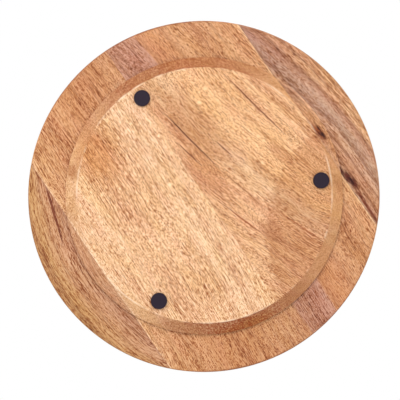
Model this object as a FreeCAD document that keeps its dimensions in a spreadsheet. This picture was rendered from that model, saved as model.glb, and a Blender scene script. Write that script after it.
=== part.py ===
import FreeCAD, Part
import os

import Sketcher

# A lazy susan turntable in millimetres. +Z is up, and the origin is on the surface that the
# turntable stands on, under the axis it turns about. The grain of both discs runs along X.
#
# From below: three rubber feet, the bevelled base disc, a ring ball bearing that is hidden in a
# groove of the platter, and the platter. The base and the platter are each turned from four
# boards glued edge to edge. The screws that hold the base to the bearing are under the feet.

doc = FreeCAD.newDocument("lazy_susan_turntable")

# ---------------------------------------------------------------------------------------------
# Driving dimensions
# ---------------------------------------------------------------------------------------------

SIZES = {
    # platter
    "platter_diameter": 350,
    "platter_thickness": 18,
    "platter_edge_round": 2,
    # base disc: widest at its top, with a straight land above the bevel
    "base_diameter": 275,
    "base_thickness": 12,
    "base_bevel_width": 12,
    "base_edge_land": 1,
    "base_arris_round": 0.8,
    # the outer board's width where the base is widest; both discs share their glue lines
    "base_outer_board_width": 13,
    # free height between the base and the platter
    "running_gap": 2,
    # rubber feet
    "foot_diameter": 16,
    "foot_height": 3,
    "foot_edge_round": 0.8,
    # the three fixings, each a foot over a screw, marked out by hand: the angle from +X, and the
    # distance in from the edge of the base's flat underside
    "fixing_1_angle": 57.6,
    "fixing_1_inset": 12.5,
    "fixing_2_angle": 181.4,
    "fixing_2_inset": 12.5,
    "fixing_3_angle": 297.4,
    "fixing_3_inset": 10.1,
    # base screws, M4 with pan heads, and their washers
    "base_screw_diameter": 4,
    "base_screw_head_diameter": 8,
    "base_screw_head_height": 2.6,
    "base_screw_engagement": 5,
    "base_screw_clearance": 0.25,
    "counterbore_depth": 4.6,
    "counterbore_clearance": 0.5,
    "washer_diameter": 9,
    "washer_thickness": 0.8,
    # ring bearing: balls between two aluminium rings, the inner one set higher so that each ring
    # bears on its own disc only; the outer ring's inset is from the edge of the base's underside
    "ball_diameter": 5,
    "ball_count": 36,
    "race_clearance": 0.1,
    "race_lip": 0.75,
    "race_gap": 2,
    "ring_offset": 1,
    "outer_ring_inset": 5,
    "outer_ring_width": 12,
    "inner_ring_width": 13,
    "groove_side_clearance": 1.5,
    # ball cage, a thin nylon strip
    "cage_thickness": 1,
    "cage_web": 0.75,
    "cage_pocket_clearance": 0.1,
    # plug of the hole that the balls go in through
    "plug_diameter": 6,
    "plug_angle": 120,
    # countersunk wood screws that hold the inner ring to the platter
    "platter_screw_diameter": 4,
    "platter_screw_head_diameter": 8,
    "platter_screw_head_height": 2.2,
    "platter_screw_count": 6,
    "platter_screw_first_angle": 30,
    "platter_screw_cover": 3,
    # cross recess of both kinds of screw
    "recess_length": 4,
    "recess_width": 0.9,
    "recess_depth": 1.4,
}

sizes = doc.addObject("Spreadsheet::Sheet", "sizes")
for row, (alias, value) in enumerate(SIZES.items(), start=1):
    sizes.set(f"A{row}", alias)
    sizes.set(f"B{row}", str(value))
    sizes.setAlias(f"B{row}", alias)
doc.recompute()


# Radii and heights that several pieces share, as expressions of the driving dimensions.
PLATTER_RADIUS = "(sizes.platter_diameter / 2)"
BASE_RADIUS = "(sizes.base_diameter / 2)"
BASE_FLAT_RADIUS = f"({BASE_RADIUS} - sizes.base_bevel_width)"
GLUE_LINE = f"({BASE_RADIUS} - sizes.base_outer_board_width)"

BASE_FLOOR = "sizes.foot_height"
BASE_TOP = "(sizes.foot_height + sizes.base_thickness)"
PLATTER_FLOOR = f"({BASE_TOP} + sizes.running_gap)"
PLATTER_TOP = f"({PLATTER_FLOOR} + sizes.platter_thickness)"

OUTER_RING_OUTER = f"({BASE_FLAT_RADIUS} - sizes.outer_ring_inset)"
OUTER_RING_INNER = f"({OUTER_RING_OUTER} - sizes.outer_ring_width)"
INNER_RING_OUTER = f"({OUTER_RING_INNER} - sizes.race_gap)"
INNER_RING_INNER = f"({INNER_RING_OUTER} - sizes.inner_ring_width)"
BALL_PITCH_RADIUS = f"({OUTER_RING_INNER} - sizes.race_gap / 2)"
RING_HEIGHT = "(sizes.ball_diameter + 2 * sizes.race_lip + sizes.ring_offset)"
RACE_RADIUS = "(sizes.ball_diameter / 2 + sizes.race_clearance)"
BALL_LEVEL = f"({BASE_TOP} + ({RING_HEIGHT} + sizes.ring_offset) / 2)"
GROOVE_DEPTH = f"({RING_HEIGHT} + sizes.ring_offset - sizes.running_gap)"
GROOVE_INNER = f"({INNER_RING_INNER} - sizes.groove_side_clearance)"
GROOVE_OUTER = f"({OUTER_RING_OUTER} + sizes.groove_side_clearance)"

COUNTERBORE_RADIUS = "(sizes.washer_diameter / 2 + sizes.counterbore_clearance)"
BASE_SCREW_LENGTH = ("(sizes.base_thickness - sizes.counterbore_depth + sizes.washer_thickness"
                     " + sizes.base_screw_engagement)")
PLATTER_SCREW_CIRCLE = f"({INNER_RING_INNER} + sizes.inner_ring_width / 2)"
PLATTER_SCREW_LENGTH = (f"({RING_HEIGHT} + sizes.platter_thickness - {GROOVE_DEPTH}"
                        " - sizes.platter_screw_cover)")

FIXINGS = (1, 2, 3)


def fixing_place(fixing):
    """X and Y expressions of one of the three fixings."""
    angle = f"sizes.fixing_{fixing}_angle"
    radius = f"({BASE_FLAT_RADIUS} - sizes.fixing_{fixing}_inset)"
    return f"{radius} * cos({angle})", f"{radius} * sin({angle})"


def platter_screw_place(index):
    """X and Y expressions of one of the screws that hold the inner ring."""
    angle = f"(sizes.platter_screw_first_angle + {index} * 360 / sizes.platter_screw_count)"
    return f"{PLATTER_SCREW_CIRCLE} * cos({angle})", f"{PLATTER_SCREW_CIRCLE} * sin({angle})"


# ---------------------------------------------------------------------------------------------
# Helpers
# ---------------------------------------------------------------------------------------------


def place(thing, x="0", y="0", z="0"):
    """Bind the place of a document object to expressions."""
    for axis, expression in (("x", x), ("y", y), ("z", z)):
        thing.setExpression(f"Placement.Base.{axis}", expression)


def origin_plane(body, role):
    """One of a body's own origin planes or axes."""
    return next(item for item in body.Origin.OriginFeatures if item.Role == role)


def new_sketch(body, name, role):
    """Empty sketch on one of the body's origin planes."""
    sketch = body.newObject("Sketcher::SketchObject", name)
    sketch.AttachmentSupport = [(origin_plane(body, role), "")]
    sketch.MapMode = "FlatFace"
    return sketch


def bind(sketch, constraint, name, expression):
    """Add a named constraint to a sketch and bind it to an expression."""
    index = sketch.addConstraint(constraint)
    sketch.renameConstraint(index, name)
    sketch.setExpression(f"Constraints.{name}", expression)


def draw_outline(sketch, corners):
    """Closed outline of straight lines. Each corner is a pair of expressions, across then up, that
    are not negative; "0" puts the corner on the sketch's own axis."""
    count = len(corners)
    points = [FreeCAD.Vector(number(across), number(up), 0) for across, up in corners]
    for index, point in enumerate(points):
        sketch.addGeometry(Part.LineSegment(point, points[(index + 1) % count]), False)
    for index in range(count):
        sketch.addConstraint(Sketcher.Constraint("Coincident", index, 2, (index + 1) % count, 1))
    for index, (across, up) in enumerate(corners):
        fix_point(sketch, index, 1, across, up)


def draw_circle(sketch, radius, across, up):
    """The sketch's one circle, its radius and centre bound to expressions."""
    centre = FreeCAD.Vector(number(across), number(up), 0)
    sketch.addGeometry(Part.Circle(centre, FreeCAD.Vector(0, 0, 1), number(radius)), False)
    bind(sketch, Sketcher.Constraint("Radius", 0, number(radius)), "radius", radius)
    fix_point(sketch, 0, 3, across, up)


def fix_point(sketch, geometry, point, across, up):
    """Hold one point of a sketch's geometry at two distances from the origin."""
    if across == "0":
        sketch.addConstraint(Sketcher.Constraint("PointOnObject", geometry, point, -2))
    else:
        distance = Sketcher.Constraint("DistanceX", -1, 1, geometry, point, number(across))
        bind(sketch, distance, f"across_{geometry}", across)
    if up == "0":
        sketch.addConstraint(Sketcher.Constraint("PointOnObject", geometry, point, -1))
    else:
        distance = Sketcher.Constraint("DistanceY", -1, 1, geometry, point, number(up))
        bind(sketch, distance, f"up_{geometry}", up)


def number(expression):
    """Value of an expression of the sheet's cells, in millimetres or degrees."""
    value = sizes.evalExpression(expression)
    return float(getattr(value, "Value", value))


def turned_feature(body, kind, name, sketch):
    """Add a full turn of a sketch about Z to a body, or take it away."""
    feature = body.newObject(f"PartDesign::{kind}", name)
    feature.Profile = sketch
    feature.ReferenceAxis = (sketch, ["V_Axis"])
    feature.Angle = 360
    doc.recompute()
    return feature


def turned_body(name, corners):
    """Body turned about Z from an outline of the XZ plane."""
    body = doc.addObject("PartDesign::Body", name)
    sketch = new_sketch(body, f"{name}_profile", "XZ_Plane")
    draw_outline(sketch, corners)
    turned_feature(body, "Revolution", f"{name}_turn", sketch)
    return body


def circle_edges(shape, radius, level):
    """Names of a shape's circular edges of one radius at one height."""
    names = []
    for index, edge in enumerate(shape.Edges, start=1):
        curve = edge.Curve
        if not isinstance(curve, Part.Circle):
            continue
        if abs(curve.Radius - radius) < 1e-4 and abs(curve.Center.z - level) < 1e-4:
            names.append(f"Edge{index}")
    return names


def round_edges(body, name, edges, radius):
    """Round the named edges of the body's last feature."""
    last_feature = body.Tip
    fillet = body.newObject("PartDesign::Fillet", name)
    fillet.Base = (last_feature, edges)
    fillet.setExpression("Radius", radius)
    doc.recompute()


def race_groove(body, name, level):
    """Cut the ball race, a ring of round section, at a height of the body."""
    sketch = new_sketch(body, f"{name}_profile", "XZ_Plane")
    draw_circle(sketch, RACE_RADIUS, BALL_PITCH_RADIUS, level)
    turned_feature(body, "Groove", name, sketch)


def cylinder(name, radius, height, x="0", y="0", z="0"):
    """Upright cylinder whose sizes and place are expressions."""
    thing = doc.addObject("Part::Cylinder", name)
    thing.setExpression("Radius", radius)
    thing.setExpression("Height", height)
    place(thing, x, y, z)
    return thing


def fused(name, pieces):
    """One tool from several."""
    thing = doc.addObject("Part::MultiFuse", name)
    thing.Shapes = pieces
    return thing


def cut(name, base, tool):
    """Base less tool."""
    thing = doc.addObject("Part::Cut", name)
    thing.Base = base
    thing.Tool = tool
    return thing


def group(name, pattern, places, z):
    """Node of identical pieces: links to one pattern piece, gathered in a compound."""
    links = []
    for index, (x, y) in enumerate(places, start=1):
        link = doc.addObject("App::Link", f"{name}_{index}")
        link.LinkedObject = pattern
        place(link, x, y, z)
        links.append(link)
    gathered = doc.addObject("Part::Compound", name)
    gathered.Links = links
    return gathered


nodes = {}


def keep(label, thing):
    """Register a finished sub-part under its own label."""
    thing.Label = label
    nodes[label] = thing
    return thing


# ---------------------------------------------------------------------------------------------
# Boards: a turned blank is split along its glue lines into the boards it was glued up from
# ---------------------------------------------------------------------------------------------


def split_into_boards(label, blank, radius, thickness, floor):
    """Four boards of a blank whose underside is at Z = 0, raised to the height of floor."""
    reach = f"({radius} + 1)"
    outer_width = f"({reach} - {GLUE_LINE})"
    strips = (
        (f"-{reach}", outer_width),
        (f"-{GLUE_LINE}", GLUE_LINE),
        ("0", GLUE_LINE),
        (GLUE_LINE, outer_width),
    )
    for index, (start, width) in enumerate(strips, start=1):
        strip = doc.addObject("Part::Box", f"{label}_strip_{index}")
        strip.setExpression("Length", f"2 * {reach}")
        strip.setExpression("Width", width)
        strip.setExpression("Height", thickness)
        place(strip, f"-{reach}", start)
        board = doc.addObject("Part::Common", f"{label}_piece_{index}")
        board.Base = blank
        board.Tool = strip
        place(board, z=floor)
        keep(f"{label}_{index}", board)


# Base disc: bevelled edge, three counterbored holes.
base_blank = turned_body("base_blank", (
    ("0", "0"),
    (BASE_FLAT_RADIUS, "0"),
    (BASE_RADIUS, "sizes.base_thickness - sizes.base_edge_land"),
    (BASE_RADIUS, "sizes.base_thickness"),
    ("0", "sizes.base_thickness"),
))
arris = circle_edges(base_blank.Shape, number(BASE_FLAT_RADIUS), 0)
round_edges(base_blank, "base_arris", arris, "sizes.base_arris_round")

base_drills = []
for fixing in FIXINGS:
    hole_x, hole_y = fixing_place(fixing)
    base_drills.append(cylinder(
        f"base_screw_hole_{fixing}",
        "sizes.base_screw_diameter / 2 + sizes.base_screw_clearance",
        "sizes.base_thickness", hole_x, hole_y))
    base_drills.append(cylinder(
        f"base_counterbore_{fixing}", COUNTERBORE_RADIUS, "sizes.counterbore_depth",
        hole_x, hole_y))
base_drilled = cut("base_drilled", base_blank, fused("base_drills", base_drills))
split_into_boards("base_board", base_drilled, BASE_RADIUS, "sizes.base_thickness", BASE_FLOOR)

# Platter: rounded edges, and a groove in its underside that takes the bearing.
platter_blank = turned_body("platter_blank", (
    ("0", "0"),
    (PLATTER_RADIUS, "0"),
    (PLATTER_RADIUS, "sizes.platter_thickness"),
    ("0", "sizes.platter_thickness"),
))
rim = circle_edges(platter_blank.Shape, number(PLATTER_RADIUS), 0)
rim += circle_edges(platter_blank.Shape, number(PLATTER_RADIUS), number("sizes.platter_thickness"))
round_edges(platter_blank, "platter_rim", rim, "sizes.platter_edge_round")
bearing_groove = new_sketch(platter_blank, "bearing_groove_profile", "XZ_Plane")
draw_outline(bearing_groove, (
    (GROOVE_INNER, "0"),
    (GROOVE_OUTER, "0"),
    (GROOVE_OUTER, GROOVE_DEPTH),
    (GROOVE_INNER, GROOVE_DEPTH),
))
turned_feature(platter_blank, "Groove", "bearing_groove", bearing_groove)

platter_pilots = []
for screw in range(int(SIZES["platter_screw_count"])):
    hole_x, hole_y = platter_screw_place(screw)
    platter_pilots.append(cylinder(
        f"platter_pilot_{screw + 1}", "sizes.platter_screw_diameter / 2",
        "sizes.platter_thickness - sizes.platter_screw_cover", hole_x, hole_y))
platter_drilled = cut("platter_drilled", platter_blank, fused("platter_pilots", platter_pilots))
split_into_boards("platter_board", platter_drilled, PLATTER_RADIUS, "sizes.platter_thickness",
                  PLATTER_FLOOR)

# ---------------------------------------------------------------------------------------------
# Rubber feet, flat discs with a rounded lower edge
# ---------------------------------------------------------------------------------------------

for fixing in FIXINGS:
    foot = turned_body(f"foot_turned_{fixing}", (
        ("0", "0"),
        ("sizes.foot_diameter / 2", "0"),
        ("sizes.foot_diameter / 2", "sizes.foot_height"),
        ("0", "sizes.foot_height"),
    ))
    rim = circle_edges(foot.Shape, number("sizes.foot_diameter / 2"), 0)
    round_edges(foot, f"foot_edge_{fixing}", rim, "sizes.foot_edge_round")
    place(foot, *fixing_place(fixing))
    keep(f"foot_{fixing}", foot)

# ---------------------------------------------------------------------------------------------
# Ring bearing
# ---------------------------------------------------------------------------------------------

# Outer ring: rests on the base, tapped for the base screws, with a radial hole for the balls.
outer_ring = turned_body("outer_ring_blank", (
    (OUTER_RING_INNER, "0"),
    (OUTER_RING_OUTER, "0"),
    (OUTER_RING_OUTER, RING_HEIGHT),
    (OUTER_RING_INNER, RING_HEIGHT),
))
race_groove(outer_ring, "outer_race", f"({RING_HEIGHT} + sizes.ring_offset) / 2")

outer_ring_drills = []
for fixing in FIXINGS:
    hole_x, hole_y = fixing_place(fixing)
    outer_ring_drills.append(cylinder(
        f"ring_thread_{fixing}", "sizes.base_screw_diameter / 2", RING_HEIGHT,
        hole_x, hole_y))


def radial_cylinder(name, radius, start, length, level):
    """Cylinder that lies along a radius of the bearing, at the plug's angle."""
    thing = doc.addObject("Part::Cylinder", name)
    thing.setExpression("Radius", radius)
    thing.setExpression("Height", length)
    lie_down = "create(<<rotation>>; create(<<vector>>; 0; 1; 0); 90)"
    swing = "create(<<rotation>>; create(<<vector>>; 0; 0; 1); sizes.plug_angle)"
    thing.setExpression("Placement.Rotation", f"{swing} * {lie_down}")
    place(thing, f"{start} * cos(sizes.plug_angle)", f"{start} * sin(sizes.plug_angle)", level)
    return thing


filler_hole = radial_cylinder("filler_hole", "sizes.plug_diameter / 2", BALL_PITCH_RADIUS,
                              f"({OUTER_RING_OUTER} - {BALL_PITCH_RADIUS} + 1)",
                              f"({RING_HEIGHT} + sizes.ring_offset) / 2")
outer_ring_drills.append(filler_hole)
outer_ring_cut = cut("outer_ring_cut", outer_ring, fused("outer_ring_drills", outer_ring_drills))
place(outer_ring_cut, z=BASE_TOP)
keep("bearing_outer_ring", outer_ring_cut)

# Plug of the filler hole, short of the race by the race clearance. It is shaped to the outside
# of the ring.
plug_start = f"({BALL_PITCH_RADIUS} + {RACE_RADIUS} + sizes.race_clearance)"
plug_rod = radial_cylinder("plug_rod", "sizes.plug_diameter / 2", plug_start,
                           f"({OUTER_RING_OUTER} - {plug_start} + 1)", BALL_LEVEL)
plug_bound = cylinder("plug_bound", OUTER_RING_OUTER, PLATTER_TOP)
plug = doc.addObject("Part::Common", "plug")
plug.Base = plug_rod
plug.Tool = plug_bound
keep("ball_filler_plug", plug)

# Inner ring: screwed up into the groove of the platter through countersunk holes.
inner_ring = turned_body("inner_ring_blank", (
    (INNER_RING_INNER, "0"),
    (INNER_RING_OUTER, "0"),
    (INNER_RING_OUTER, RING_HEIGHT),
    (INNER_RING_INNER, RING_HEIGHT),
))
race_groove(inner_ring, "inner_race", f"({RING_HEIGHT} - sizes.ring_offset) / 2")

# Countersunk wood screw, head down at Z = 0.
SHANK_RADIUS = "(sizes.platter_screw_diameter / 2)"
HEAD_RADIUS = "(sizes.platter_screw_head_diameter / 2)"
HEAD_HEIGHT = "sizes.platter_screw_head_height"
POINT_START = f"({PLATTER_SCREW_LENGTH} - sizes.platter_screw_diameter)"
wood_screw = turned_body("wood_screw", (
    ("0", "0"),
    (HEAD_RADIUS, "0"),
    (SHANK_RADIUS, HEAD_HEIGHT),
    (SHANK_RADIUS, POINT_START),
    ("0", PLATTER_SCREW_LENGTH),
))
countersunk_hole = turned_body("countersunk_hole", (
    ("0", "0"),
    (HEAD_RADIUS, "0"),
    (SHANK_RADIUS, HEAD_HEIGHT),
    (SHANK_RADIUS, RING_HEIGHT),
    ("0", RING_HEIGHT),
))


def cross_recess(name):
    """Two crossed slots, the recess of a screw's head, cut up from Z = 0."""
    slots = []
    for direction, (along_x, along_y) in enumerate((
            ("sizes.recess_length", "sizes.recess_width"),
            ("sizes.recess_width", "sizes.recess_length"))):
        slot = doc.addObject("Part::Box", f"{name}_{direction}")
        slot.setExpression("Length", along_x)
        slot.setExpression("Width", along_y)
        slot.setExpression("Height", "sizes.recess_depth")
        place(slot, f"-{along_x} / 2", f"-{along_y} / 2")
        slots.append(slot)
    return fused(name, slots)


wood_screw_cut = cut("wood_screw_cut", wood_screw, cross_recess("wood_screw_recess"))

platter_screw_places = [platter_screw_place(index)
                        for index in range(int(SIZES["platter_screw_count"]))]
countersinks = group("countersinks", countersunk_hole, platter_screw_places, "0")
inner_ring_cut = cut("inner_ring_cut", inner_ring, countersinks)
INNER_RING_FLOOR = f"({BASE_TOP} + sizes.ring_offset)"
place(inner_ring_cut, z=INNER_RING_FLOOR)
keep("bearing_inner_ring", inner_ring_cut)
keep("platter_screws", group("platter_screw", wood_screw_cut, platter_screw_places,
                             INNER_RING_FLOOR))

# Balls, evenly spaced round the race.
ball = doc.addObject("Part::Sphere", "ball")
ball.setExpression("Radius", "sizes.ball_diameter / 2")


def ball_place(index):
    """X and Y expressions of one ball."""
    angle = f"({index} * 360 / sizes.ball_count)"
    return f"{BALL_PITCH_RADIUS} * cos({angle})", f"{BALL_PITCH_RADIUS} * sin({angle})"


ball_places = [ball_place(index) for index in range(int(SIZES["ball_count"]))]
keep("bearing_balls", group("bearing_ball", ball, ball_places, BALL_LEVEL))

# Cage: a thin strip round the race, half of its thickness each side of the pitch circle, with a
# round pocket for each ball.
CAGE_HEIGHT = "(sizes.ball_diameter + 2 * sizes.cage_web)"
CAGE_INNER = f"({BALL_PITCH_RADIUS} - sizes.cage_thickness / 2)"
CAGE_OUTER = f"({BALL_PITCH_RADIUS} + sizes.cage_thickness / 2)"
cage = turned_body("cage", (
    (CAGE_INNER, "0"),
    (CAGE_OUTER, "0"),
    (CAGE_OUTER, CAGE_HEIGHT),
    (CAGE_INNER, CAGE_HEIGHT),
))
pocket_sketch = new_sketch(cage, "pocket_profile", "YZ_Plane")
draw_circle(pocket_sketch, "(sizes.ball_diameter / 2 + sizes.cage_pocket_clearance)", "0",
            f"{CAGE_HEIGHT} / 2")
pocket = cage.newObject("PartDesign::Pocket", "ball_pocket")
pocket.Profile = pocket_sketch
pocket.Type = "ThroughAll"
pocket.Reversed = True
doc.recompute()
pockets = cage.newObject("PartDesign::PolarPattern", "ball_pockets")
pockets.Originals = [pocket]
pockets.Axis = (origin_plane(cage, "Z_Axis"), [""])
pockets.Angle = 360
pockets.setExpression("Occurrences", "sizes.ball_count")
cage.Tip = pockets
place(cage, z=f"{BALL_LEVEL} - {CAGE_HEIGHT} / 2")
keep("ball_cage", cage)

# ---------------------------------------------------------------------------------------------
# Base screws and washers, in the counterbores over the feet
# ---------------------------------------------------------------------------------------------

# Pan head machine screw, head down: Z = 0 is the face of the head that bears on the washer.
pan_head = turned_body("pan_head", (
    ("0", "0"),
    ("sizes.base_screw_head_diameter / 2", "0"),
    ("sizes.base_screw_head_diameter / 2", "sizes.base_screw_head_height"),
    ("sizes.base_screw_diameter / 2", "sizes.base_screw_head_height"),
    ("sizes.base_screw_diameter / 2", f"sizes.base_screw_head_height + {BASE_SCREW_LENGTH}"),
    ("0", f"sizes.base_screw_head_height + {BASE_SCREW_LENGTH}"),
))
pan_rim = circle_edges(pan_head.Shape, number("sizes.base_screw_head_diameter / 2"), 0)
round_edges(pan_head, "pan_head_rim", pan_rim, "sizes.base_screw_head_height / 2")
machine_screw = cut("machine_screw", pan_head, cross_recess("machine_screw_recess"))

fixing_places = [fixing_place(fixing) for fixing in FIXINGS]
WASHER_FLOOR = f"({BASE_FLOOR} + sizes.counterbore_depth - sizes.washer_thickness)"
keep("base_screws", group("base_screw", machine_screw, fixing_places,
                          f"({WASHER_FLOOR} - sizes.base_screw_head_height)"))

washer = turned_body("washer", (
    ("sizes.base_screw_diameter / 2 + sizes.base_screw_clearance", "0"),
    ("sizes.washer_diameter / 2", "0"),
    ("sizes.washer_diameter / 2", "sizes.washer_thickness"),
    ("sizes.base_screw_diameter / 2 + sizes.base_screw_clearance", "sizes.washer_thickness"),
))
keep("base_washers", group("base_washer", washer, fixing_places, WASHER_FLOOR))

# ---------------------------------------------------------------------------------------------
# Check and write
# ---------------------------------------------------------------------------------------------

doc.recompute()

faults = [item.Name for item in doc.Objects if {"Invalid", "Error"} & set(item.State)]
if faults:
    raise RuntimeError("failed objects: " + ", ".join(faults))
for label, thing in nodes.items():
    if thing.Shape.isNull() or not thing.Shape.isValid():
        raise RuntimeError("bad shape: " + label)

os.makedirs("parts", exist_ok=True)
for label, thing in nodes.items():
    thing.Shape.exportStep(f"parts/{label}.step")
    box = thing.Shape.BoundBox
    print(f"{label}: {len(thing.Shape.Solids)} solids, {thing.Shape.Volume:.0f} mm3,"
          f" z {box.ZMin:.2f} to {box.ZMax:.2f}")
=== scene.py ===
# %% [markdown]
# # A wooden lazy susan turntable
# The turntable stands on three rubber feet. Its base disc stays still and its platter turns on a
# ring of balls between two aluminium rings, which are hidden in a groove of the platter. Both discs
# are turned from four mango boards glued edge to edge, then oiled, so nearly all of what the eye
# sees is wood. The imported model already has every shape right, and this script gives each piece
# the finish that the real one has.

# %% Load the frame
import math

import bpy
from mathutils import Matrix, Vector


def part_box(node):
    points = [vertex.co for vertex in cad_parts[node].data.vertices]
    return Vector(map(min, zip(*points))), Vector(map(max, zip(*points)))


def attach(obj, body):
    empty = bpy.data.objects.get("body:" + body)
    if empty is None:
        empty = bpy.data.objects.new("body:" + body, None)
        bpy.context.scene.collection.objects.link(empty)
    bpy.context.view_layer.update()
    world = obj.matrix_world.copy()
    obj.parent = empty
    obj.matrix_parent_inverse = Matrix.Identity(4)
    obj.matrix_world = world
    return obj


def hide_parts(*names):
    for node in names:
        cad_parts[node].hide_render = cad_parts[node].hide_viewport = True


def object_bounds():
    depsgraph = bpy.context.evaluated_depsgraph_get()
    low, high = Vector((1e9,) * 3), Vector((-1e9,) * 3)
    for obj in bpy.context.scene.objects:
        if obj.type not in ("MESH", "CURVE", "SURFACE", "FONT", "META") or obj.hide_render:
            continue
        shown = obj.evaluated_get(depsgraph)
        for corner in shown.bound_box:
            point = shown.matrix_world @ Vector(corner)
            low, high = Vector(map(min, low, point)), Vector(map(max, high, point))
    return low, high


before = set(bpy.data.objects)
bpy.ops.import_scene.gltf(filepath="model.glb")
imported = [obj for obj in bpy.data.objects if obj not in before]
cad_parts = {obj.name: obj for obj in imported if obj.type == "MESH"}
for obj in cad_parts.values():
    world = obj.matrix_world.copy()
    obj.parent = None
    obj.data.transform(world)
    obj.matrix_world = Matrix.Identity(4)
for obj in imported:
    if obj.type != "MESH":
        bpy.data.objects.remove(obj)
cad_low, cad_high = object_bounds()
MILLIMETRE = 0.001
print("CAD box in millimetres:", [round(side / MILLIMETRE, 1) for side in cad_high - cad_low])

# %% [markdown]
# ## Places that come from the frame
# The radius and the height of the object and the heights of the base are measured from the pieces
# themselves. The glue lines are where one board's box ends and the next begins.

# %% Measure the discs
PLATTER_RADIUS = (cad_high.x - cad_low.x) / 2
HEIGHT = cad_high.z
MIDDLE = Vector((0, 0, HEIGHT / 2))
base_low, base_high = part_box("base_board_2")
print(f"platter radius {PLATTER_RADIUS / MILLIMETRE:.0f} mm, height {HEIGHT / MILLIMETRE:.0f} mm,"
      f" base from {base_low.z / MILLIMETRE:.0f} to {base_high.z / MILLIMETRE:.0f} mm")

# %% [markdown]
# ## The camera
# The turntable is seen almost straight from below, from about a metre away, as if it were held up
# to show its feet. The camera is a little off the axis, so the near side of the base looks a touch
# larger than the far side. The grain runs from upper left to lower right in the view, so the
# camera is rolled about its own axis by the angle between the grain and the upright of the view.

# %% Make the camera
CAMERA_DISTANCE = 1.05
CAMERA_OFF_AXIS = (0.0162, 0.0428)
GRAIN_ROLL = math.radians(55.6)
LENS_MM = 96.7
SHIFT = (-0.0112, -0.0127)
AIM_HEIGHT = 0.010

unroll = Matrix.Rotation(-GRAIN_ROLL, 3, "Z")
camera_place = unroll @ Vector((-CAMERA_OFF_AXIS[0], CAMERA_OFF_AXIS[1], -CAMERA_DISTANCE))
aim = Vector((0, 0, AIM_HEIGHT))
back = (camera_place - aim).normalized()
view_up = unroll @ Vector((0, -1, 0))
right = view_up.cross(back).normalized()
up = back.cross(right)

camera_data = bpy.data.cameras.new("camera")
camera_data.lens = LENS_MM
camera_data.shift_x, camera_data.shift_y = SHIFT
camera = bpy.data.objects.new("camera", camera_data)
turn = Matrix((right, up, back)).transposed().to_4x4()
camera.matrix_world = Matrix.Translation(camera_place) @ turn
bpy.context.scene.collection.objects.link(camera)
bpy.context.scene.camera = camera
print("camera at", [round(value, 3) for value in camera_place])

# %% [markdown]
# ## One function for nodes, one for colours
# Every material below is a small tree of nodes. One function adds a node with its settings, its
# colour stops and its inputs, whether an input is a number or another node's output, and gives
# back the new node's outputs. Colours are written the way a paint chart has them, as sRGB hex, and
# shaders want linear light, so one function converts them.

# %% Helpers for nodes and colours


def linear(hex_colour):
    """sRGB hex to linear red, green, blue and alpha."""
    channels = [int(hex_colour[place:place + 2], 16) / 255 for place in (1, 3, 5)]
    return [c / 12.92 if c <= 0.04045 else ((c + 0.055) / 1.055) ** 2.4 for c in channels] + [1]


def add_node(tree, kind, inputs=None, stops=(), **settings):
    """Add a node and return its outputs. inputs maps a socket's name or number to a value, or to
    the output that feeds it; stops are a colour ramp's (position, hex) pairs."""
    node = tree.nodes.new(kind)
    for name, value in settings.items():
        setattr(node, name, value)
    for key, value in (inputs or {}).items():
        if isinstance(value, bpy.types.NodeSocket):
            tree.links.new(value, node.inputs[key])
        else:
            node.inputs[key].default_value = value
    if stops:
        ramp = node.color_ramp.elements
        while len(ramp) < len(stops):
            ramp.new(1.0)
        for element, (position, colour) in zip(ramp, stops):
            element.position = position
            element.color = linear(colour)
    return node.outputs


def new_material(name):
    """Material with an empty tree."""
    material = bpy.data.materials.new(name)
    material.use_nodes = True
    material.node_tree.nodes.clear()
    return material, material.node_tree


print("white in linear light:", linear("#ffffff"))

# %% [markdown]
# ## The studio
# A pale paper floor under the feet. It must not hide the turntable from a camera below it, so it is
# one-sided: seen from its back it lets everything through, and it casts no shadow, so the light
# under it reaches the feet. The paper darkens by itself close to the turntable, which gives the eye
# the soft contact shade that tells it the turntable stands on the floor.

# %% Floor
FLOOR_RADIUS = 4.0
FLOOR_CORNERS = 96
CONTACT_SHADE = 0.08
PAPER_WHITE = "#e9e7e3"

floor_material, tree = new_material("pale_studio_paper")
shaded = add_node(tree, "ShaderNodeAmbientOcclusion", {
    "Color": linear(PAPER_WHITE), "Distance": CONTACT_SHADE})
paper = add_node(tree, "ShaderNodeBsdfDiffuse", {"Color": shaded["Color"]})
see_through = add_node(tree, "ShaderNodeBsdfTransparent")
side = add_node(tree, "ShaderNodeNewGeometry")
one_sided = add_node(tree, "ShaderNodeMixShader", {
    0: side["Backfacing"], 1: paper[0], 2: see_through[0]})
add_node(tree, "ShaderNodeOutputMaterial", {"Surface": one_sided[0]})

floor_mesh = bpy.data.meshes.new("floor")
corner_turn = 2 * math.pi / FLOOR_CORNERS
floor_edge = [(FLOOR_RADIUS * math.cos(k * corner_turn), FLOOR_RADIUS * math.sin(k * corner_turn), 0)
              for k in range(FLOOR_CORNERS)]
floor_mesh.from_pydata(floor_edge, [], [range(FLOOR_CORNERS)])
floor_mesh.materials.append(floor_material)
floor = bpy.data.objects.new("floor", floor_mesh)
bpy.context.scene.collection.objects.link(floor)
floor.visible_shadow = False
floor.visible_diffuse = False
floor.visible_glossy = False
print("floor radius", FLOOR_RADIUS, "m")

# %% [markdown]
# Two square soft boxes and a white room. The box above lights the platter from the front left, and
# gives its rim a bright side and a dark side. The weaker one below rakes over the base, so its bevel
# reads as a slope. Everything else is even light from a white room, as in a catalogue.

# %% Lights
KEY_ABOVE = {"place": (-1.2, -1.4, 1.9), "size": 1.2, "watts": 26}
KEY_BELOW = {"place": unroll @ Vector((-0.35, -0.95, -1.5)), "size": 0.9, "watts": 12}
AMBIENT = 0.92


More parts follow.
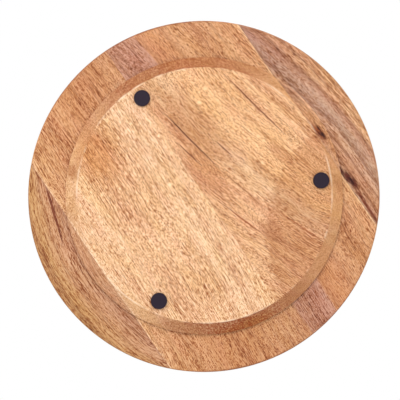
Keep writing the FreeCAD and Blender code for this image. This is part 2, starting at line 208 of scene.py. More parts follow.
def soft_box(name, place, size, watts):
    """Square soft box that faces the middle of the turntable."""
    light = bpy.data.lights.new(name, "AREA")
    light.shape = "SQUARE"
    light.size = size
    light.energy = watts
    holder = bpy.data.objects.new(name, light)
    facing = (MIDDLE - Vector(place)).to_track_quat("-Z", "Y")
    holder.matrix_world = Matrix.Translation(place) @ facing.to_matrix().to_4x4()
    bpy.context.scene.collection.objects.link(holder)


soft_box("key_above", **KEY_ABOVE)
soft_box("key_below", **KEY_BELOW)

world = bpy.data.worlds.new("white_studio")
world.use_nodes = True
tree = world.node_tree
tree.nodes.clear()
ray = add_node(tree, "ShaderNodeLightPath")
soft_light = add_node(tree, "ShaderNodeBackground", {"Color": (1, 1, 1, 1), "Strength": AMBIENT})
white_wall = add_node(tree, "ShaderNodeBackground", {"Color": (1, 1, 1, 1), "Strength": 1.0})
pick = add_node(tree, "ShaderNodeMixShader", {
    0: ray["Is Camera Ray"], 1: soft_light[0], 2: white_wall[0]})
add_node(tree, "ShaderNodeOutputWorld", {"Surface": pick[0]})
bpy.context.scene.world = world
bpy.context.scene.view_settings.view_transform = "Standard"
print("two soft boxes, ambient light", AMBIENT)

# %% [markdown]
# ## Oiled mango wood
# Mango is a warm, golden wood with smoky brown and pinkish bands, short dark pores and streaks
# that follow the grain. The pattern is solid, like the wood, so flats, bevel and rim all cut the
# same figure, and a pore is long along the grain but only a dot where the turning cuts across it.
# All of it is drawn in the board's own grain space, in millimetres: along the fibres, across them,
# and up. The fibres lean and bend, so the space is bent with them before any pattern is read.

# %% Sizes of the wood's figure, in millimetres along, across and up
WANDER_MM = (150.0, 46.0, 46.0)
RIPPLE_MM = (24.0, 12.0, 12.0)
CLOUD_MM = (58.0, 17.0, 17.0)
HUE_MM = (42.0, 12.0, 12.0)
DASH_MM = (4.2, 0.6, 0.6)
FIBRE_MM = (22.0, 0.75, 0.75)
FLECK_MM = (1.5, 0.9, 0.9)
SOAK_MM = (6.0, 1.5, 1.5)
STREAK_MM = (95.0, 1.7, 1.7)
PORE_MM = (6.0, 0.8, 0.8)
# The rings' own sizes, and how far the fibres wander and ripple off their straight line.
RING_MM = 6.5
YEAR_MM = 4.2
WANDER_REACH = 9.0
RIPPLE_REACH = 1.2
# How much the fibres count in the figure, and how far they tear the edges of a mark.
FIGURE_STRENGTH = 4.6
TEAR = 0.9
TEAR_MM = 22.0
# A knot is longer along the grain than across it, and the rings blend round it over this many
# millimetres.
KNOT_STRETCH = 2.4
KNOT_BLEND = 9.0
# The slope of the bevel's face, and the direction in which the board's end grain faces.
BEVEL_SLANT = math.sin(math.radians(45))
END_GRAIN_TURN = math.radians(20)
END_GRAIN = (math.cos(END_GRAIN_TURN), math.sin(END_GRAIN_TURN), 0)
print("fibres", FIBRE_MM[1], "mm wide, pores", PORE_MM[0], "mm long, rings", RING_MM, "mm apart")

# %% [markdown]
# The colours that every board shares are filters, laid over the board's own colour bands like thin
# coats of varnish. They all darken. The shade runs from the smoky brown of the late wood to clear,
# and the hue drifts between a greenish and a pinkish cast, so that a flat band still looks alive.

# %% Colours that the boards share
SHADE_STOPS = ((0.02, "#94603c"), (0.32, "#d3b396"), (0.50, "#ebdccd"), (0.68, "#fcf6ee"),
               (0.96, "#ffffff"))
HUE_STOPS = ((0.34, "#fdf7e9"), (0.50, "#fffbf5"), (0.66, "#fff7f4"))
BURNISHED = "#dcc2a2"
STREAK_STAIN = "#ac7a5c"
OPEN_PORE = "#8e5a3c"
YEAR_LINE = "#94624a"
SOAKED_END_GRAIN = "#a9652e"
print(len(SHADE_STOPS), "shades from", SHADE_STOPS[0][1], "to", SHADE_STOPS[-1][1])

# %% [markdown]
# The flat of the base meets its bevel at a rounded arris that catches the light, so a pale line
# along it is a painted highlight. The platter's rounded rim turns away from the light, so a dark
# line along it is painted shade. Both are rings, so the material can find them by radius and height.
# The radius is measured on the mesh itself. To the eye, the pale line marks where the flat ends, and
# the dark one draws the platter's outline.

# %% Measure the arris
FLAT_TOLERANCE = 0.1 * MILLIMETRE
flat_points = [point.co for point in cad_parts["base_board_3"].data.vertices
               if point.co.z < base_low.z + FLAT_TOLERANCE]
ARRIS_RADIUS = max(math.hypot(point.x, point.y) for point in flat_points)
# A pale line along the base's arris: a painted highlight where the light catches its round.
ARRIS_PAINTED_HIGHLIGHT = (ARRIS_RADIUS / MILLIMETRE, base_low.z / MILLIMETRE, 1.5, "#ffe8cc")
platter_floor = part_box("platter_board_2")[0].z
# A dark line along the platter's rounded rim: painted shade where the edge turns away from the
# light.
RIM_PAINTED_SHADE = (PLATTER_RADIUS / MILLIMETRE, platter_floor / MILLIMETRE, 3.2, "#8e5430")
print(f"arris radius {ARRIS_RADIUS / MILLIMETRE:.1f} mm")

# %% [markdown]
# The material below puts these together in the order that the wood got them: its colour bands and
# growth rings, its fibres, then the stains of the tree's life, and last what the workshop and the
# oil did to it. The board's numbers come in as arguments, because no two boards match.

# %% Wood material
FULL_FIGURE = 0.97
SLANTED = 0.75
DARK_ROUGHNESS = 0.62
PALE_ROUGHNESS = 0.46
FIBRE_RELIEF = 0.25 * MILLIMETRE
OIL_IOR = 1.47


def mango_wood(name, bands, flow, pith, shift, edge, lip=None, marks=(), knot=None, depth=1.0,
               curl=0.5, growth=0.3, pores=0.6, end_grain=0.5, bevel_clear=0.4):
    """Oiled mango board.

    bands: its colours across the grain, as (millimetres, hex)
    flow: the (lean, bow) of its fibres, a slope and how much the slope grows in a metre
    pith: the (across, up) of the line that its growth rings go round
    shift: moves the board's noise, so that no two boards match
    edge: the (radius, height, reach, hex) of an edge line of painted highlight or painted shade
    lip: where a glue line has gone pale or dark, as (from y, to y, hex)
    marks: knots, streaks and stains, as (x, y, half length, half width, hex, softness)
    knot: the (x, y, tightness) of a knot that the rings and fibres go round
    depth, curl, growth, pores, end_grain: how strong its rings, its curly fleck, its dark growth
    lines, its pores and its end grain are
    bevel_clear: how much of the figure shows where the turning cuts at a slant
    """
    material, tree = new_material(name)
    surface = add_node(tree, "ShaderNodeTexCoord")
    place = add_node(tree, "ShaderNodeVectorMath",
                     {0: surface["Object"], "Scale": 1 / MILLIMETRE}, operation="SCALE")[0]
    moved = add_node(tree, "ShaderNodeVectorMath", {0: place, 1: shift}, operation="ADD")[0]
    part = add_node(tree, "ShaderNodeSeparateXYZ", {0: place})

    def pattern(space, size_mm, detail, roughness):
        """Noise whose cells have a real size along, across and up."""
        cells = add_node(tree, "ShaderNodeVectorMath",
                         {0: space, 1: [1 / size for size in size_mm]}, operation="MULTIPLY")
        return add_node(tree, "ShaderNodeTexNoise", {
            "Vector": cells[0], "Scale": 1.0, "Detail": detail, "Roughness": roughness})["Fac"]

    # Bend the space with the fibres: a lean and a bow, a slow wander and a quick ripple.
    lean, bow = flow
    slope = add_node(tree, "ShaderNodeMath", {
        0: part["X"], 1: bow / 2 * MILLIMETRE, 2: lean}, operation="MULTIPLY_ADD")
    drift = add_node(tree, "ShaderNodeMath", {0: part["X"], 1: slope[0]}, operation="MULTIPLY")
    straight = add_node(tree, "ShaderNodeMath", {0: part["Y"], 1: drift[0]},
                        operation="SUBTRACT")
    wander = add_node(tree, "ShaderNodeMapRange", {
        "Value": pattern(moved, WANDER_MM, 2.0, 0.5), "To Min": -WANDER_REACH,
        "To Max": WANDER_REACH})
    ripple = add_node(tree, "ShaderNodeMapRange", {
        "Value": pattern(moved, RIPPLE_MM, 2.0, 0.5), "To Min": -RIPPLE_REACH,
        "To Max": RIPPLE_REACH})
    across = add_node(tree, "ShaderNodeMath", {0: straight[0], 1: wander[0]}, operation="ADD")[0]
    rippled = add_node(tree, "ShaderNodeMath", {0: across, 1: ripple[0]}, operation="ADD")[0]
    grain_place = add_node(tree, "ShaderNodeCombineXYZ", {
        "X": part["X"], "Y": rippled, "Z": part["Z"]})[0]

    # Growth rings round the pith, which close in round a knot.
    radius = add_node(tree, "ShaderNodeVectorMath", {
        0: add_node(tree, "ShaderNodeVectorMath", {0: grain_place, 1: (0, 1, 1)},
                    operation="MULTIPLY")[0],
        1: (0, *pith)}, operation="DISTANCE")["Value"]
    if knot:
        knot_x, knot_y, tightness = knot
        knot_place = add_node(tree, "ShaderNodeMapping", {
            "Vector": place, "Location": (knot_x, knot_y, 0),
            "Scale": (KNOT_STRETCH / tightness, 1 / tightness, 1000)}, vector_type="TEXTURE")
        knot_radius = add_node(tree, "ShaderNodeVectorMath", {0: knot_place[0]},
                               operation="LENGTH")["Value"]
        radius = add_node(tree, "ShaderNodeMath", {0: radius, 1: knot_radius, 2: KNOT_BLEND},
                          operation="SMOOTH_MIN")[0]
    ring_count = add_node(tree, "ShaderNodeMath", {0: radius, 1: RING_MM}, operation="DIVIDE")
    rings = add_node(tree, "ShaderNodeTexNoise", {
        "W": ring_count[0], "Scale": 1.0, "Detail": 5.0, "Roughness": 0.65},
        noise_dimensions="1D")["Fac"]

    # Bands of colour from glue line to glue line.
    low, high = bands[0][0], bands[-1][0]
    band_place = add_node(tree, "ShaderNodeMapRange",
                          {"Value": across, "From Min": low, "From Max": high})
    tone = add_node(tree, "ShaderNodeValToRGB", {"Fac": band_place[0]}, stops=[
        ((millimetres - low) / (high - low), colour) for millimetres, colour in bands])[0]

    # How light the wood is: long fibres and short dashes, with a curly fleck in their place in
    # patches, over the rings and a slow cloud. The weights say how much each one counts.
    fibres = add_node(tree, "ShaderNodeVectorMath", {0: grain_place, 1: shift},
                      operation="ADD")[0]
    cloud = pattern(fibres, CLOUD_MM, 2.0, 0.5)
    dash = pattern(fibres, DASH_MM, 2.0, 0.6)
    fibre = pattern(fibres, FIBRE_MM, 2.0, 0.6)
    fleck = pattern(fibres, FLECK_MM, 1.0, 0.5)
    curly = add_node(tree, "ShaderNodeMapRange", {
        "Value": cloud, "From Min": 0.42, "From Max": 0.60, "To Min": 0.1 * curl,
        "To Max": 0.8 * curl})[0]
    straight_grain = add_node(tree, "ShaderNodeMix", {0: 0.45, 2: dash, 3: fibre})[0]
    grain = add_node(tree, "ShaderNodeMix", {0: curly, 2: straight_grain, 3: fleck})[0]
    weights = (0.6 * depth, 0.4, FIGURE_STRENGTH)
    figure = add_node(tree, "ShaderNodeVectorMath", {
        0: add_node(tree, "ShaderNodeCombineXYZ", {"X": rings, "Y": cloud, "Z": grain})[0],
        1: weights}, operation="DOT_PRODUCT")["Value"]
    lightness = add_node(tree, "ShaderNodeMapRange", {
        "Value": figure, "From Min": sum(weights) / 2 - 0.5, "From Max": sum(weights) / 2 + 0.5})
    shade = add_node(tree, "ShaderNodeValToRGB", {"Fac": lightness[0]}, stops=SHADE_STOPS)

    # The turning tool burnishes what it cuts at a slant, so the bevel and the rim show less of it.
    normal = add_node(tree, "ShaderNodeSeparateXYZ", {0: surface["Normal"]})
    level = add_node(tree, "ShaderNodeMath", {0: normal["Z"]}, operation="ABSOLUTE")
    clear = add_node(tree, "ShaderNodeMapRange", {
        "Value": level[0], "From Min": SLANTED, "From Max": FULL_FIGURE,
        "To Min": bevel_clear})[0]
    burnish = add_node(tree, "ShaderNodeMix", {
        0: clear, 6: linear(BURNISHED), 7: shade[0]}, data_type="RGBA")[2]
    hue = add_node(tree, "ShaderNodeValToRGB", {"Fac": pattern(fibres, HUE_MM, 2.0, 0.5)},
                   stops=HUE_STOPS)[0]
    wood = tone
    for layer in (burnish, hue):
        wood = add_node(tree, "ShaderNodeMix", {0: 1.0, 6: wood, 7: layer},
                        data_type="RGBA", blend_type="MULTIPLY")[2]

    # Long dark streaks, where minerals have stained the fibres, short open pores, and the thin
    # dark lines where a year's growth ended.
    years = add_node(tree, "ShaderNodeMath", {0: radius, 1: 1 / YEAR_MM}, operation="MULTIPLY")
    bunched = add_node(tree, "ShaderNodeMath", {0: rings, 1: 1.6, 2: years[0]},
                       operation="MULTIPLY_ADD")
    from_line = add_node(tree, "ShaderNodeMath", {0: bunched[0], 1: 0.5}, operation="PINGPONG")
    line_strength = add_node(tree, "ShaderNodeMapRange", {
        "Value": fibre, "From Min": 0.38, "From Max": 0.56, "To Min": 0.15 * growth,
        "To Max": growth})[0]
    stains = (
        (pattern(fibres, STREAK_MM, 2.0, 0.55), 0.62, 0.72, pores, STREAK_STAIN),
        (pattern(fibres, PORE_MM, 0.0, 0.5), 0.64, 0.74, pores, OPEN_PORE),
        (from_line[0], 0.15, 0.03, line_strength, YEAR_LINE),
    )
    for amount, clean, stained, strength, colour in stains:
        shown = add_node(tree, "ShaderNodeMath", {0: clear, 1: strength}, operation="MULTIPLY")
        stain = add_node(tree, "ShaderNodeMapRange", {
            "Value": amount, "From Min": clean, "From Max": stained, "To Max": shown[0]})
        wood = add_node(tree, "ShaderNodeMix", {0: stain[0], 6: wood, 7: linear(colour)},
                        data_type="RGBA", blend_type="MULTIPLY")[2]

    # Knots, streaks and stains lie along the fibres, with edges that the figure tears. The burnish
    # hides them too.
    mark_place = add_node(tree, "ShaderNodeCombineXYZ", {
        "X": part["X"], "Y": add_node(tree, "ShaderNodeMath", {0: part["Y"], 1: ripple[0]},
                                      operation="ADD")[0]})
    torn = add_node(tree, "ShaderNodeMapRange", {
        "Value": straight_grain, "To Min": -TEAR, "To Max": TEAR})
    for x, y, half_length, half_width, colour, softness in marks:
        fibre_angle = math.atan(lean + bow * x * MILLIMETRE)
        inside = add_node(tree, "ShaderNodeMapping", {
            "Vector": mark_place[0], "Location": (x, y, 0), "Rotation": (0, 0, fibre_angle),
            "Scale": (half_length, half_width, 1)}, vector_type="TEXTURE")
        away = add_node(tree, "ShaderNodeVectorMath", {0: inside[0]}, operation="LENGTH")
        torn_edge = add_node(tree, "ShaderNodeMath", {
            0: torn[0], 1: min(1.0, TEAR_MM / half_width), 2: away["Value"]},
            operation="MULTIPLY_ADD")
        mark = add_node(tree, "ShaderNodeMapRange", {
            "Value": torn_edge[0], "From Min": 1 + softness / 2, "From Max": 1 - softness / 2,
            "To Max": clear})
        wood = add_node(tree, "ShaderNodeMix", {0: mark[0], 6: wood, 7: linear(colour)},
                        data_type="RGBA", blend_type="MULTIPLY")[2]
    if lip:
        lip_from, lip_to, lip_colour = lip
        broken = add_node(tree, "ShaderNodeMapRange", {
            "Value": straight_grain, "From Min": 0.42, "From Max": 0.62, "To Max": 0.85})
        pale = add_node(tree, "ShaderNodeMapRange", {
            "Value": part["Y"], "From Min": lip_from, "From Max": lip_to, "To Max": broken[0]})
        wood = add_node(tree, "ShaderNodeMix", {0: pale[0], 6: wood, 7: linear(lip_colour)},
                        data_type="RGBA")[2]

    # End grain drinks the oil and goes dark where the turning cuts across the board, unevenly, in
    # short streaks. It starts sooner at one end than at the other, and that difference is painted
    # shade, for the end of the bevel that gets less light.
    facing = add_node(tree, "ShaderNodeVectorMath", {0: surface["Normal"], 1: END_GRAIN},
                      operation="DOT_PRODUCT")["Value"]
    cut_across = add_node(tree, "ShaderNodeMath", {0: facing}, operation="ABSOLUTE")
    # The start moves with the sign of the facing, so one end of the bevel is darker: painted shade.
    soak_start_with_painted_shade = add_node(tree, "ShaderNodeMapRange", {
        "Value": facing, "From Min": -0.3, "From Max": 0.3, "To Min": 0.40, "To Max": 0.50})
    uneven = add_node(tree, "ShaderNodeMapRange", {
        "Value": pattern(fibres, SOAK_MM, 1.0, 0.5), "From Min": 0.34, "From Max": 0.60,
        "To Min": 0.6 * end_grain, "To Max": 1.15 * end_grain})
    soaked = add_node(tree, "ShaderNodeMapRange", {
        "Value": cut_across[0], "From Min": soak_start_with_painted_shade[0], "From Max": BEVEL_SLANT,
        "To Max": uneven[0]})
    wood = add_node(tree, "ShaderNodeMix", {0: soaked[0], 6: wood, 7: linear(SOAKED_END_GRAIN)},
                    data_type="RGBA", blend_type="MULTIPLY")[2]

    # The edge line of painted highlight or painted shade, found by its radius and height, and
    # broken by the cloud.
    edge_radius, edge_height, edge_reach, edge_colour = edge
    outward = add_node(tree, "ShaderNodeVectorMath", {0: place, 1: (1, 1, 0)},
                       operation="MULTIPLY")
    out = add_node(tree, "ShaderNodeVectorMath", {0: outward[0]}, operation="LENGTH")["Value"]
    from_edge = add_node(tree, "ShaderNodeVectorMath", {
        0: add_node(tree, "ShaderNodeCombineXYZ", {"X": out, "Y": part["Z"]})[0],
        1: (edge_radius, edge_height, 0)}, operation="DISTANCE")["Value"]
    patchy = add_node(tree, "ShaderNodeMapRange", {
        "Value": cloud, "From Min": 0.46, "From Max": 0.64, "To Max": 0.5})
    painted_edge_distance = add_node(tree, "ShaderNodeMath", {0: torn[0], 1: edge_reach, 2: from_edge},
                       operation="MULTIPLY_ADD")
    changed = add_node(tree, "ShaderNodeMapRange", {
        "Value": painted_edge_distance[0], "From Min": edge_reach, "From Max": 0.2 * edge_reach,
        "To Max": patchy[0]})
    wood = add_node(tree, "ShaderNodeMix", {0: changed[0], 6: wood, 7: linear(edge_colour)},
                    data_type="RGBA")[2]

    # Fibres that stand proud break up the highlight, and dark wood is a little rougher than pale.
    bump = add_node(tree, "ShaderNodeBump", {
        "Height": straight_grain, "Strength": 0.4, "Distance": FIBRE_RELIEF})
    sheen = add_node(tree, "ShaderNodeMapRange", {
        "Value": lightness[0], "From Min": 0.2, "From Max": 0.8, "To Min": DARK_ROUGHNESS,
        "To Max": PALE_ROUGHNESS})
    oiled = add_node(tree, "ShaderNodeBsdfPrincipled", {
        "Base Color": wood, "Roughness": sheen[0], "IOR": OIL_IOR, "Specular IOR Level": 0.3,
        "Normal": bump[0]})
    add_node(tree, "ShaderNodeOutputMaterial", {"Surface": oiled[0]})
    return material


print("figure strength", FIGURE_STRENGTH, "and marks torn by up to", TEAR_MM, "mm")

# %% [markdown]
# ## Board by board
# Each board gets its own call, because each came from its own plank. The colours are given across
# the board from one glue line to the next. Boards 1 and 4 are heartwood from near the pith: darker,
# with strong lines that sweep round a knot. Boards 2 and 3 are paler sapwood.

# %% Platter boards
platter_boards = {
    "platter_board_1": mango_wood(
        "oiled_mango_platter_1",
        bands=((-178, "#e2b890"), (-164, "#e6be98"), (-154, "#e2bba0"), (-147, "#dfc3b0"),
               (-140, "#dcbaa2"), (-134, "#d2a78a"), (-126, "#c89878"), (-118, "#d2b09a")),
        flow=(-0.13, 1.5), pith=(-150, 42), shift=(310, 40, 0), edge=RIM_PAINTED_SHADE, depth=0.9,
        growth=0.7, curl=0.4, knot=(15, -130, 4.5), lip=(-126.2, -124.8, "#96705a"),
        marks=((-104, -138, 55, 24, "#ece0e4", 1.0), (55, -126.4, 6, 1.8, "#8e5a48", 0.7),
               (66, -128.4, 8, 3.0, "#865042", 0.8), (74, -129.8, 6, 2.6, "#94604e", 0.8),
               (101, -128, 21, 1.8, "#c49484", 0.9))),
    "platter_board_2": mango_wood(
        "oiled_mango_platter_2",
        bands=((-124, "#ecc094"), (-104, "#deae86"), (-78, "#dcac82"), (-62, "#d8a076"),
               (-46, "#d69e76"), (-43, "#cc9d8a"), (-12, "#cea08c"), (-9, "#d6a680"),
               (-2, "#d6a680")),
        flow=(-0.04, 0.5), pith=(-60, -70), shift=(0, 200, 40), edge=RIM_PAINTED_SHADE, depth=1.1,
        lip=(-122.4, -124.2, "#ffdcae")),
    "platter_board_3": mango_wood(
        "oiled_mango_platter_3",
        bands=((2, "#dcac84"), (30, "#d8a47a"), (60, "#d8a276"), (95, "#e4b48a"),
               (122, "#e8bc92")),
        flow=(0.03, 0.3), pith=(70, 130), shift=(640, 90, 80), edge=RIM_PAINTED_SHADE, depth=0.8,
        curl=0.5, growth=0.2, pores=0.4, lip=(122.4, 124.2, "#ffdcb4")),
    "platter_board_4": mango_wood(
        "oiled_mango_platter_4",
        bands=((126, "#c49474"), (136, "#cca084"), (148, "#d8ac8a"), (162, "#d2a878"),
               (175, "#caa070")),
        flow=(0.03, -4.0), pith=(140, -50), shift=(90, 520, 20), edge=RIM_PAINTED_SHADE, depth=1.2,
        curl=0.2, growth=0.4, pores=0.35, lip=(126.6, 124.6, "#a0705a"),
        marks=((-70, 133, 30, 1.4, "#a06e58", 0.6),)),
}
print(len(platter_boards), "platter boards")

# %% [markdown]
# The base's boards come from the same planks as the platter's, so boards 1 and 4 share their knot
# and their sweep, but the base is paler and its arris carries a painted highlight. Board 2 has the
# long dark mineral streaks, and a wide faint stain near its edge.

# %% Base boards
base_boards = {
    "base_board_1": mango_wood(
        "oiled_mango_base_1",
        bands=((-147, "#f4d0b0"), (-140, "#f0caaa"), (-134, "#e8bc96"), (-126, "#e2b088"),
               (-118, "#e8c0a2")),
        flow=(-0.13, 1.5), pith=(-150, 42), shift=(310, 40, 14), edge=ARRIS_PAINTED_HIGHLIGHT, depth=0.9,
        growth=0.35, curl=0.4, bevel_clear=1.0, knot=(15, -130, 4.5),
        lip=(-125.6, -124.6, "#b08a70"),
        marks=((13, -129, 10, 4.2, "#b4825e", 0.9), (9, -130.6, 4, 0.8, "#70402c", 0.8),
               (17, -130.4, 4, 1.7, "#64382a", 0.8), (14, -128, 3, 0.7, "#7a4836", 0.8),
               (-34, -128, 15, 5, "#dedce4", 1.0))),
    "base_board_2": mango_wood(
        "oiled_mango_base_2",
        bands=((-124, "#f4cca4"), (-100, "#f8d0a6"), (-70, "#fdd6aa"), (-56, "#f6d0a8"),
               (-50, "#fadab8"), (-44, "#f2cca6"), (-38, "#f8d6b2"), (-30, "#f2c8a2"),
               (-1, "#f4cca6")),
        flow=(-0.27, -1.6), pith=(-50, -60), shift=(420, 10, 60), edge=ARRIS_PAINTED_HIGHLIGHT,
        curl=0.7, growth=0.1, end_grain=0.8, bevel_clear=0.5,
        marks=((-53, -19, 36, 0.7, "#7c5044", 0.7), (-41, -10, 13, 0.6, "#8a5a48", 0.7),
               (-45, -91, 38, 0.7, "#96695a", 0.7), (-27, -41, 10, 0.6, "#8a5a48", 0.6),
               (-62, -28, 52, 18, "#e8d8ca", 0.7), (142, -138, 134, 134, "#e9dcd2", 0.03),
               (10, -85, 16, 6, "#e8dad2", 0.2), (66, -34, 14, 9, "#ece0da", 0.3),
               (40, -17, 22, 0.6, "#c08c6c", 0.8), (76, -59, 30, 0.6, "#cfa48c", 0.8),
               (-16, -11, 26, 13, "#ecdcd0", 1.0), (68, -118, 14, 7, "#d8cab8", 0.8))),
    "base_board_3": mango_wood(
        "oiled_mango_base_3",
        bands=((1, "#fedcb9"), (24, "#ffe0be"), (56, "#fddab6"), (90, "#fedcb8"),
               (124, "#fedcba")),
        flow=(0.03, 0.3), pith=(60, 110), shift=(130, 350, 30), edge=ARRIS_PAINTED_HIGHLIGHT, depth=0.8,
        curl=0.4, growth=0.1, pores=0.4, end_grain=1.0, bevel_clear=0.7,
        marks=((-94, 66, 33, 20, "#e6cdb0", 0.9), (-93, 95, 9, 6, "#c8a884", 0.8),
               (131, 50, 9, 38, "#f0d88c", 0.5)),
        lip=(122.0, 124.4, "#ffe2c0")),
    "base_board_4": mango_wood(
        "oiled_mango_base_4",
        bands=((124, "#e6bc9c"), (138, "#ecc2a0")),
        flow=(0.03, -4.0), pith=(140, -50), shift=(90, 520, 34), edge=ARRIS_PAINTED_HIGHLIGHT,
        bevel_clear=0.8, lip=(126.0, 124.6, "#b07e62")),
}
print(len(base_boards), "base boards")

# %% [markdown]
# ## Moulded rubber
# The feet are moulded rubber, near black with a plum cast, and dull all over. Mould release leaves
# a faint bloom, and the mould's spark-eroded wall gives a fine pebble.

# %% Rubber material
PEBBLE_MM = 0.7
BLOOM_MM = 6.0

rubber, tree = new_material("moulded_rubber")
surface = add_node(tree, "ShaderNodeTexCoord")
pebble = add_node(tree, "ShaderNodeTexNoise", {
    "Vector": surface["Object"], "Scale": 1 / (PEBBLE_MM * MILLIMETRE), "Detail": 3.0})
bloom = add_node(tree, "ShaderNodeTexNoise", {
    "Vector": surface["Object"], "Scale": 1 / (BLOOM_MM * MILLIMETRE), "Detail": 2.0})
cast = add_node(tree, "ShaderNodeMix", {
    0: bloom["Fac"], 6: linear("#1c1020"), 7: linear("#28182a")}, data_type="RGBA")
dull = add_node(tree, "ShaderNodeMapRange", {
    "Value": bloom["Fac"], "To Min": 0.55, "To Max": 0.72})
pebbled = add_node(tree, "ShaderNodeBump", {
    "Height": pebble["Fac"], "Strength": 0.3, "Distance": 0.05 * MILLIMETRE})
moulded = add_node(tree, "ShaderNodeBsdfPrincipled", {
    "Base Color": cast[2], "Roughness": dull[0], "IOR": 1.52, "Specular IOR Level": 0.25,
    "Normal": pebbled[0]})
add_node(tree, "ShaderNodeOutputMaterial", {"Surface": moulded[0]})
print("rubber pebble", PEBBLE_MM, "mm")

# %% [markdown]
# ## Turned metal
# The bearing rings are turned aluminium, bright and pale grey. The balls are polished steel, and the
# screws and washers are zinc plated steel with a faint yellow. All of them are seen only through the
# gap between the discs. The lathe's fine rings stretch each highlight round the part.

# %% Metal materials


def turned_metal(name, colour, groove_mm, roughness):
    """Metal with fine rings from the lathe, drawn wide enough to show."""
    material, tree = new_material(name)
    surface = add_node(tree, "ShaderNodeTexCoord")
    flat = add_node(tree, "ShaderNodeVectorMath",
                    {0: surface["Object"], 1: (1, 1, 0)}, operation="MULTIPLY")
    radius = add_node(tree, "ShaderNodeVectorMath", {0: flat[0]}, operation="LENGTH")
    count = add_node(tree, "ShaderNodeMath", {
        0: radius["Value"], 1: groove_mm * MILLIMETRE}, operation="DIVIDE")
    lines = add_node(tree, "ShaderNodeTexNoise", {
        "W": count[0], "Scale": 1.0, "Detail": 2.0}, noise_dimensions="1D")
    matt = add_node(tree, "ShaderNodeMapRange", {
        "Value": lines["Fac"], "To Min": roughness - 0.08, "To Max": roughness + 0.08})
    bump = add_node(tree, "ShaderNodeBump", {
        "Height": lines["Fac"], "Strength": 0.2, "Distance": 0.02 * MILLIMETRE})
    metal = add_node(tree, "ShaderNodeBsdfPrincipled", {
        "Base Color": linear(colour), "Metallic": 1.0, "Roughness": matt[0],
        "Normal": bump[0]})
    add_node(tree, "ShaderNodeOutputMaterial", {"Surface": metal[0]})
    return material


aluminium = turned_metal("turned_aluminium", "#e2e3e3", 0.4, 0.34)
ball_steel = turned_metal("polished_bearing_steel", "#c9c8c4", 0.2, 0.12)
zinc_steel = turned_metal("zinc_plated_steel", "#cfccc0", 0.3, 0.30)
print("metals:", aluminium.name, ball_steel.name, zinc_steel.name)

# %% [markdown]
# ## Moulded nylon
# The cage is moulded nylon, which is slippery and needs no grease. It is a milky plastic, and a
# faint cloud in its colour keeps it from looking painted.

# %% Nylon material
CLOUD_IN_NYLON_MM = 4.0

nylon, tree = new_material("moulded_nylon")
surface = add_node(tree, "ShaderNodeTexCoord")
cloud = add_node(tree, "ShaderNodeTexNoise", {
    "Vector": surface["Object"], "Scale": 1 / (CLOUD_IN_NYLON_MM * MILLIMETRE), "Detail": 2.0})
milky = add_node(tree, "ShaderNodeMix", {
    0: cloud["Fac"], 6: linear("#e4e1d6"), 7: linear("#efece2")}, data_type="RGBA")
plastic = add_node(tree, "ShaderNodeBsdfPrincipled", {
    "Base Color": milky[2], "Roughness": 0.45, "IOR": 1.53})
add_node(tree, "ShaderNodeOutputMaterial", {"Surface": plastic[0]})
print("cage:", nylon.name)

# %% [markdown]
# ## Pieces that repeat
# The feet and the balls are each one shape, many times. Each kind gets a small Geometry Nodes tree
# that sets its shape on the points that it is given. These two functions start such a tree, and run
# it once to get a plain mesh.

# %% A tree that works on points, and a way to run it


def new_tree(name, sizes):
    """Geometry Nodes tree with a geometry input, a number input for each size, and an output."""
    tree = bpy.data.node_groups.new(name, "GeometryNodeTree")
    tree.interface.new_socket("Points", in_out="INPUT", socket_type="NodeSocketGeometry")
    for size in sizes:
        tree.interface.new_socket(size, in_out="INPUT", socket_type="NodeSocketFloat")
    tree.interface.new_socket("Piece", in_out="OUTPUT", socket_type="NodeSocketGeometry")
    return tree


def grow(name, points, tree, sizes):
    """Run a tree on a few points, and give back its result as a plain mesh piece."""
    point_mesh = bpy.data.meshes.new(name + "_points")
    point_mesh.from_pydata(points, [], [])
    worker = bpy.data.objects.new(name + "_worker", point_mesh)
    bpy.context.scene.collection.objects.link(worker)
    modifier = worker.modifiers.new("grow", "NODES")
    modifier.node_group = tree
    for socket in tree.interface.items_tree:
        if socket.name in sizes:
            modifier[socket.identifier] = sizes[socket.name]
    grown = worker.evaluated_get(bpy.context.evaluated_depsgraph_get())
    mesh = bpy.data.meshes.new_from_object(grown)
    mesh.name = name
    bpy.data.objects.remove(worker)
    piece = bpy.data.objects.new(name, mesh)
    bpy.context.scene.collection.objects.link(piece)
    mesh.shade_smooth()
    return piece


print("pieces that repeat are grown on points")

# %% [markdown]
# ## Three rubber feet
# One moulded foot, three times, so the mesh that the tree works on is only the three middles. The
# mould rounds the edge that meets the table, and leaves the edge against the base sharp, so only
# the lower edge is bevelled. The round catches a thin line of light and keeps the foot from looking
# like a printed dot.

# %% Feet
FOOT_SIDES = 96
FOOT_ROUND = 0.8 * MILLIMETRE
ROUND_SEGMENTS = 4

feet = [f"foot_{number}" for number in (1, 2, 3)]
foot_low, foot_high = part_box(feet[0])
foot_middles = [(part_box(foot)[0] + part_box(foot)[1]) / 2 for foot in feet]
foot_sizes = {"Foot Diameter": foot_high.x - foot_low.x, "Foot Height": foot_high.z - foot_low.z}

tree = new_tree("moulded_feet", foot_sizes)
given = add_node(tree, "NodeGroupInput")
foot_radius = add_node(tree, "ShaderNodeMath", {0: given["Foot Diameter"], 1: 0.5},
                       operation="MULTIPLY")
foot = add_node(tree, "GeometryNodeMeshCylinder", {
    "Vertices": FOOT_SIDES, "Radius": foot_radius[0], "Depth": given["Foot Height"]})
set_down = add_node(tree, "GeometryNodeInstanceOnPoints", {
    "Points": given["Points"], "Instance": foot["Mesh"]})
solid = add_node(tree, "GeometryNodeRealizeInstances", {"Geometry": set_down[0]})
finished = add_node(tree, "GeometryNodeSetMaterial", {"Geometry": solid[0], "Material": rubber})
add_node(tree, "NodeGroupOutput", {0: finished[0]})

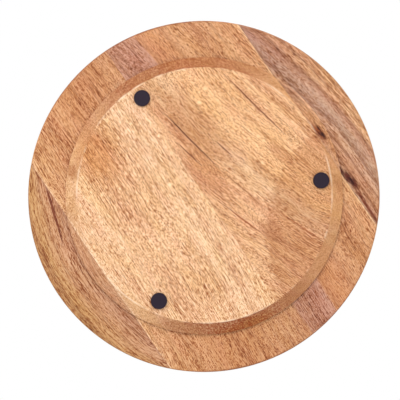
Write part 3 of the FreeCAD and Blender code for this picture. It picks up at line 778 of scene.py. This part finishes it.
rubber_feet = grow("rubber_feet", foot_middles, tree, foot_sizes)
foot_mesh = rubber_feet.data
lower_rim = foot_mesh.attributes.new("bevel_weight_edge", "FLOAT", "EDGE")
for edge in foot_mesh.edges:
    heights = [foot_mesh.vertices[index].co.z for index in edge.vertices]
    lower_rim.data[edge.index].value = float(max(heights) < foot_low.z + FLAT_TOLERANCE)
rounding = rubber_feet.modifiers.new("mould_round", "BEVEL")
rounding.limit_method = "WEIGHT"
rounding.width = FOOT_ROUND
rounding.segments = ROUND_SEGMENTS
rounding.harden_normals = True
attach(rubber_feet, "base")
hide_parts(*feet)
print("feet:", len(foot_mesh.vertices), "vertices, diameter",
      round(foot_sizes["Foot Diameter"] / MILLIMETRE, 1), "mm")

# %% [markdown]
# ## The ring of balls
# Bearing balls are ground and lapped to the same size, so they are one sphere repeated round the
# pitch circle, which is the circle through their middles. The tree makes that circle on the
# bearing's middle and sets a ball on each of its corners. Their size and circle come from the packed
# model, and there are as many as the cage has pockets.

# %% Balls
BALL_COUNT = 36
BALL_ROUNDNESS = 3

balls_low, balls_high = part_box("bearing_balls")
ball_diameter = balls_high.z - balls_low.z
ball_sizes = {"Ball Diameter": ball_diameter,
              "Pitch Radius": (balls_high.x - balls_low.x - ball_diameter) / 2}

tree = new_tree("ball_ring", ball_sizes)
given = add_node(tree, "NodeGroupInput")
pitch_circle = add_node(tree, "GeometryNodeMeshCircle", {
    "Vertices": BALL_COUNT, "Radius": given["Pitch Radius"]})
circle_there = add_node(tree, "GeometryNodeInstanceOnPoints", {
    "Points": given["Points"], "Instance": pitch_circle[0]})
ball_middles = add_node(tree, "GeometryNodeRealizeInstances", {"Geometry": circle_there[0]})
ball_radius = add_node(tree, "ShaderNodeMath", {0: given["Ball Diameter"], 1: 0.5},
                       operation="MULTIPLY")
ball = add_node(tree, "GeometryNodeMeshIcoSphere", {
    "Radius": ball_radius[0], "Subdivisions": BALL_ROUNDNESS})
set_round = add_node(tree, "GeometryNodeInstanceOnPoints", {
    "Points": ball_middles[0], "Instance": ball["Mesh"]})
solid = add_node(tree, "GeometryNodeRealizeInstances", {"Geometry": set_round[0]})
finished = add_node(tree, "GeometryNodeSetMaterial", {
    "Geometry": solid[0], "Material": ball_steel})
add_node(tree, "NodeGroupOutput", {0: finished[0]})

ball_ring = grow("bearing_ball_ring", [(balls_low + balls_high) / 2], tree, ball_sizes)
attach(ball_ring, "balls")
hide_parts("bearing_balls")
print(BALL_COUNT, "balls of", round(ball_diameter / MILLIMETRE, 2), "mm on a pitch radius of",
      round(ball_sizes["Pitch Radius"] / MILLIMETRE, 2), "mm")

# %% [markdown]
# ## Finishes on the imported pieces
# The boards, rings, cage, screws and washers keep the shapes that they have, and only take their
# material. The feet and balls have theirs already.

# %% Give every piece its finish
finishes = dict(platter_boards)
finishes.update(base_boards)
finishes.update(
    bearing_outer_ring=aluminium,
    bearing_inner_ring=aluminium,
    ball_filler_plug=aluminium,
    ball_cage=nylon,
    platter_screws=zinc_steel,
    base_screws=zinc_steel,
    base_washers=zinc_steel,
)
for node, material in finishes.items():
    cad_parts[node].material_slots[0].material = material
print(len(finishes), "of", len(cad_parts), "pieces have their finish")
